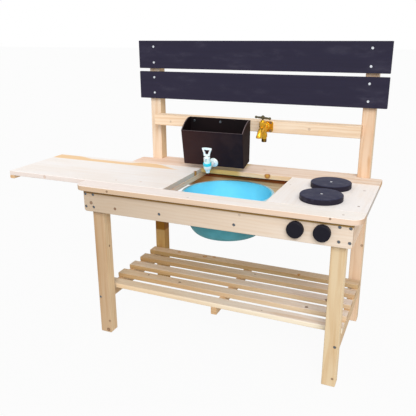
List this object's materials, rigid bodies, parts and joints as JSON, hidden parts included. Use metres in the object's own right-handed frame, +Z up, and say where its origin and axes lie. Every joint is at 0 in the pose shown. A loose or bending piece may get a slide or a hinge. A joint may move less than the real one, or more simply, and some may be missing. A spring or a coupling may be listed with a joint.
{
  "type": "mud kitchen",
  "caption": "Outdoor timber mud kitchen with a sliding worktop over a blue basin, hob discs, knobs, slatted shelf, chalkboards, water tank with dispenser, and brass tap.",
  "frame": {"origin": "on the floor, below the middle of the whole object's box with the worktop panel drawn out to the left as pictured", "axes": "+X from the drawn-out panel towards the hob, +Y from the front apron to the back uprights, +Z up"},
  "size_m": [1.3608, 0.5426, 1.0788],
  "materials": {
    "pine": "planed bare pine",
    "chalkboard": "matt chalkboard paint",
    "basin_plastic": "satin light blue plastic",
    "tank_plastic": "dark brown-black plastic",
    "dispenser_plastic": "white plastic",
    "collar_plastic": "cyan plastic",
    "brass": "polished brass",
    "aged_brass": "dulled brass",
    "hob_black": "painted black, satin",
    "knob_black": "painted black, satin",
    "zinc": "zinc plated"
  },
  "bodies": {
    "frame": {"front_leg_left": "pine", "front_leg_right": "pine", "back_upright_left": "pine", "back_upright_right": "pine", "front_apron": "pine", "rear_apron": "pine", "side_apron_left": "pine", "side_apron_right": "pine", "worktop_front_board": "pine", "worktop_rear_board": "pine", "worktop_hob_board": "pine", "hob_batten": "pine", "panel_runner_front": "pine", "panel_runner_rear": "pine", "basin_bearer_left": "pine", "basin_bearer_right": "pine", "basin_ledge": "pine", "shelf_slat_1": "pine", "shelf_slat_2": "pine", "shelf_slat_3": "pine", "shelf_slat_4": "pine", "shelf_slat_5": "pine", "shelf_bearer_left": "pine", "shelf_bearer_middle": "pine", "shelf_bearer_right": "pine", "tap_rail": "pine", "chalkboard_lower": "chalkboard", "chalkboard_upper": "chalkboard", "basin": "basin_plastic", "water_tank": "tank_plastic", "dispenser_body": "dispenser_plastic", "dispenser_collar": "collar_plastic", "dispenser_nut": "dispenser_plastic", "garden_tap_body": "brass", "garden_tap_bonnet": "brass", "hob_disc_front": "hob_black", "hob_disc_rear": "hob_black", "chalk_screw_lower_left_low": "zinc", "chalk_screw_lower_left_high": "zinc", "chalk_screw_lower_right_low": "zinc", "chalk_screw_lower_right_high": "zinc", "chalk_screw_upper_left_low": "zinc", "chalk_screw_upper_left_high": "zinc", "chalk_screw_upper_right_low": "zinc", "chalk_screw_upper_right_high": "zinc", "apron_screw_left": "zinc", "apron_screw_right": "zinc", "tank_screw_left": "zinc", "tank_screw_middle": "zinc", "hob_screw_front": "zinc", "hob_screw_rear": "zinc"},
    "panel": {"sliding_panel": "pine", "panel_pull_batten": "pine", "panel_stop_batten": "pine"},
    "left_knob": {"knob_left": "knob_black", "knob_screw_left": "zinc"},
    "right_knob": {"knob_right": "knob_black", "knob_screw_right": "zinc"},
    "lever": {"dispenser_lever": "dispenser_plastic"},
    "tap_handle": {"garden_tap_handle": "aged_brass"}
  },
  "joints": [
    {"name": "panel_slide", "type": "slide", "parent": "frame", "child": "panel", "axis": [1, 0, 0], "range_m": [-0.204, 0.367]},
    {"name": "left_knob_turn", "type": "hinge", "parent": "frame", "child": "left_knob", "pos_m": [0.4824, -0.2516, 0.54], "axis": [0, -1, 0], "continuous": true},
    {"name": "right_knob_turn", "type": "hinge", "parent": "frame", "child": "right_knob", "pos_m": [0.5644, -0.2516, 0.54], "axis": [0, -1, 0], "continuous": true},
    {"name": "lever_tip", "type": "hinge", "parent": "frame", "child": "lever", "pos_m": [0.0604, 0.04475, 0.66014], "axis": [1, 0, 0], "range_deg": [0, 30], "stiffness_Nm_per_rad": 0.08},
    {"name": "tap_handle_turn", "type": "hinge", "parent": "frame", "child": "tap_handle", "pos_m": [0.2471, 0.1337, 0.8095], "axis": [0, 0, 1], "range_deg": [0, 360]}
  ]
}
